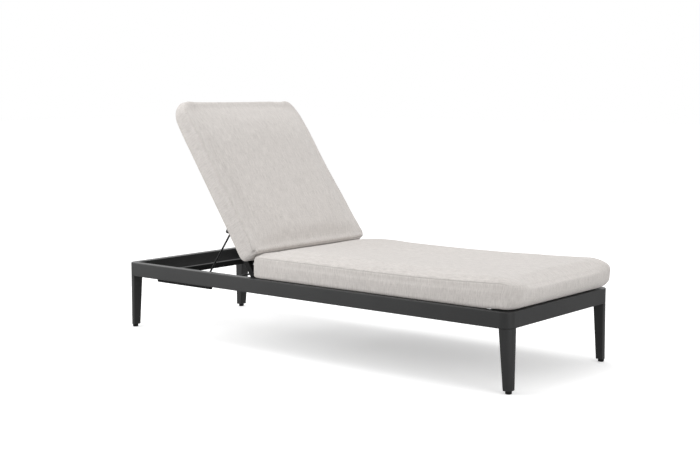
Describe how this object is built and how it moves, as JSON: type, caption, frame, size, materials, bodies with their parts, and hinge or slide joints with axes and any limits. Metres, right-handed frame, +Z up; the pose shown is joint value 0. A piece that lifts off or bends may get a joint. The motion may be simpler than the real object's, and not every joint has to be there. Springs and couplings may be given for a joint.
{
  "type": "relaxation lounger",
  "caption": "Low slatted lounger on tapered legs, with a propped back that folds flat and two loose cushions.",
  "frame": {"origin": "on the floor, under the middle of the metal frame's length and width; the seat cushion overhangs the foot end, so the middle of the whole box is 11 mm nearer the foot", "axes": "+X to the foot end, +Y across to the far side, +Z up"},
  "size_m": [2.022, 0.74, 1.0075],
  "materials": {
    "frame_coat": "satin charcoal powder coat",
    "inner_coat": "satin charcoal powder coat",
    "prop_coat": "satin black coat",
    "dark_fixings": "blackened",
    "glide_plastic": "matt",
    "black_nylon": "matt",
    "pad_rubber": "matt",
    "cushion_fabric": "heathered weave"
  },
  "bodies": {
    "frame": {"corner_leg_foot_far": "frame_coat", "corner_leg_foot_near": "frame_coat", "corner_leg_head_far": "frame_coat", "corner_leg_head_near": "frame_coat", "foot_rail": "frame_coat", "glide_foot_far": "glide_plastic", "glide_foot_near": "glide_plastic", "glide_head_far": "glide_plastic", "glide_head_near": "glide_plastic", "head_rail": "frame_coat", "mid_tube": "inner_coat", "pivot_bolts": "dark_fixings", "pivot_nuts": "dark_fixings", "pivot_spacer_far": "black_nylon", "pivot_spacer_near": "black_nylon", "rack_angle_far": "inner_coat", "rack_angle_near": "inner_coat", "rack_comb_far": "inner_coat", "rack_comb_near": "inner_coat", "rack_rivets": "dark_fixings", "rest_pad_far": "pad_rubber", "rest_pad_near": "pad_rubber", "rest_tube": "inner_coat", "seat_cushion": "cushion_fabric", "seat_slat_1": "inner_coat", "seat_slat_2": "inner_coat", "seat_slat_3": "inner_coat", "seat_slat_4": "inner_coat", "seat_slat_5": "inner_coat", "seat_slat_6": "inner_coat", "seat_slat_7": "inner_coat", "seat_slat_8": "inner_coat", "seat_slat_9": "inner_coat", "side_rail_far": "frame_coat", "side_rail_near": "frame_coat", "slat_ledge_far": "inner_coat", "slat_ledge_near": "inner_coat", "slat_screws": "dark_fixings"},
    "back": {"back_bottom_bar": "inner_coat", "back_side_bar_far": "inner_coat", "back_side_bar_near": "inner_coat", "back_slat_1": "inner_coat", "back_slat_2": "inner_coat", "back_slat_3": "inner_coat", "back_slat_4": "inner_coat", "back_slat_5": "inner_coat", "back_top_bar": "inner_coat", "bar_cap_far": "black_nylon", "bar_cap_near": "black_nylon", "prop_ear_far": "inner_coat", "prop_ear_near": "inner_coat", "prop_pin_nuts": "dark_fixings", "prop_pins": "dark_fixings", "prop_spacer_far": "black_nylon", "prop_spacer_near": "black_nylon"},
    "prop": {"prop_arm_far": "prop_coat", "prop_arm_near": "prop_coat", "prop_foot_rod": "prop_coat"},
    "back_cushion": {"back_cushion": "cushion_fabric"}
  },
  "joints": [
    {"name": "back_recline", "type": "hinge", "parent": "frame", "child": "back", "pos_m": [-0.258, 0, 0.2815], "axis": [0, 1, 0], "range_deg": [-56, 6]},
    {"name": "prop_swing", "type": "hinge", "parent": "back", "child": "prop", "pos_m": [-0.41268, 0, 0.47148], "axis": [0, 1, 0], "range_deg": [-11.5, 107]},
    {"name": "cushion_slide", "type": "slide", "parent": "back", "child": "back_cushion", "axis": [-0.5592, 0, 0.829], "range_m": [-0.0823, 0.0089]}
  ],
  "couplings": [
    {"joint": "prop_swing", "follows": "back_recline", "ratio": -1.91},
    {"joint": "cushion_slide", "follows": "back_recline", "m_per_rad": 0.0841}
  ]
}
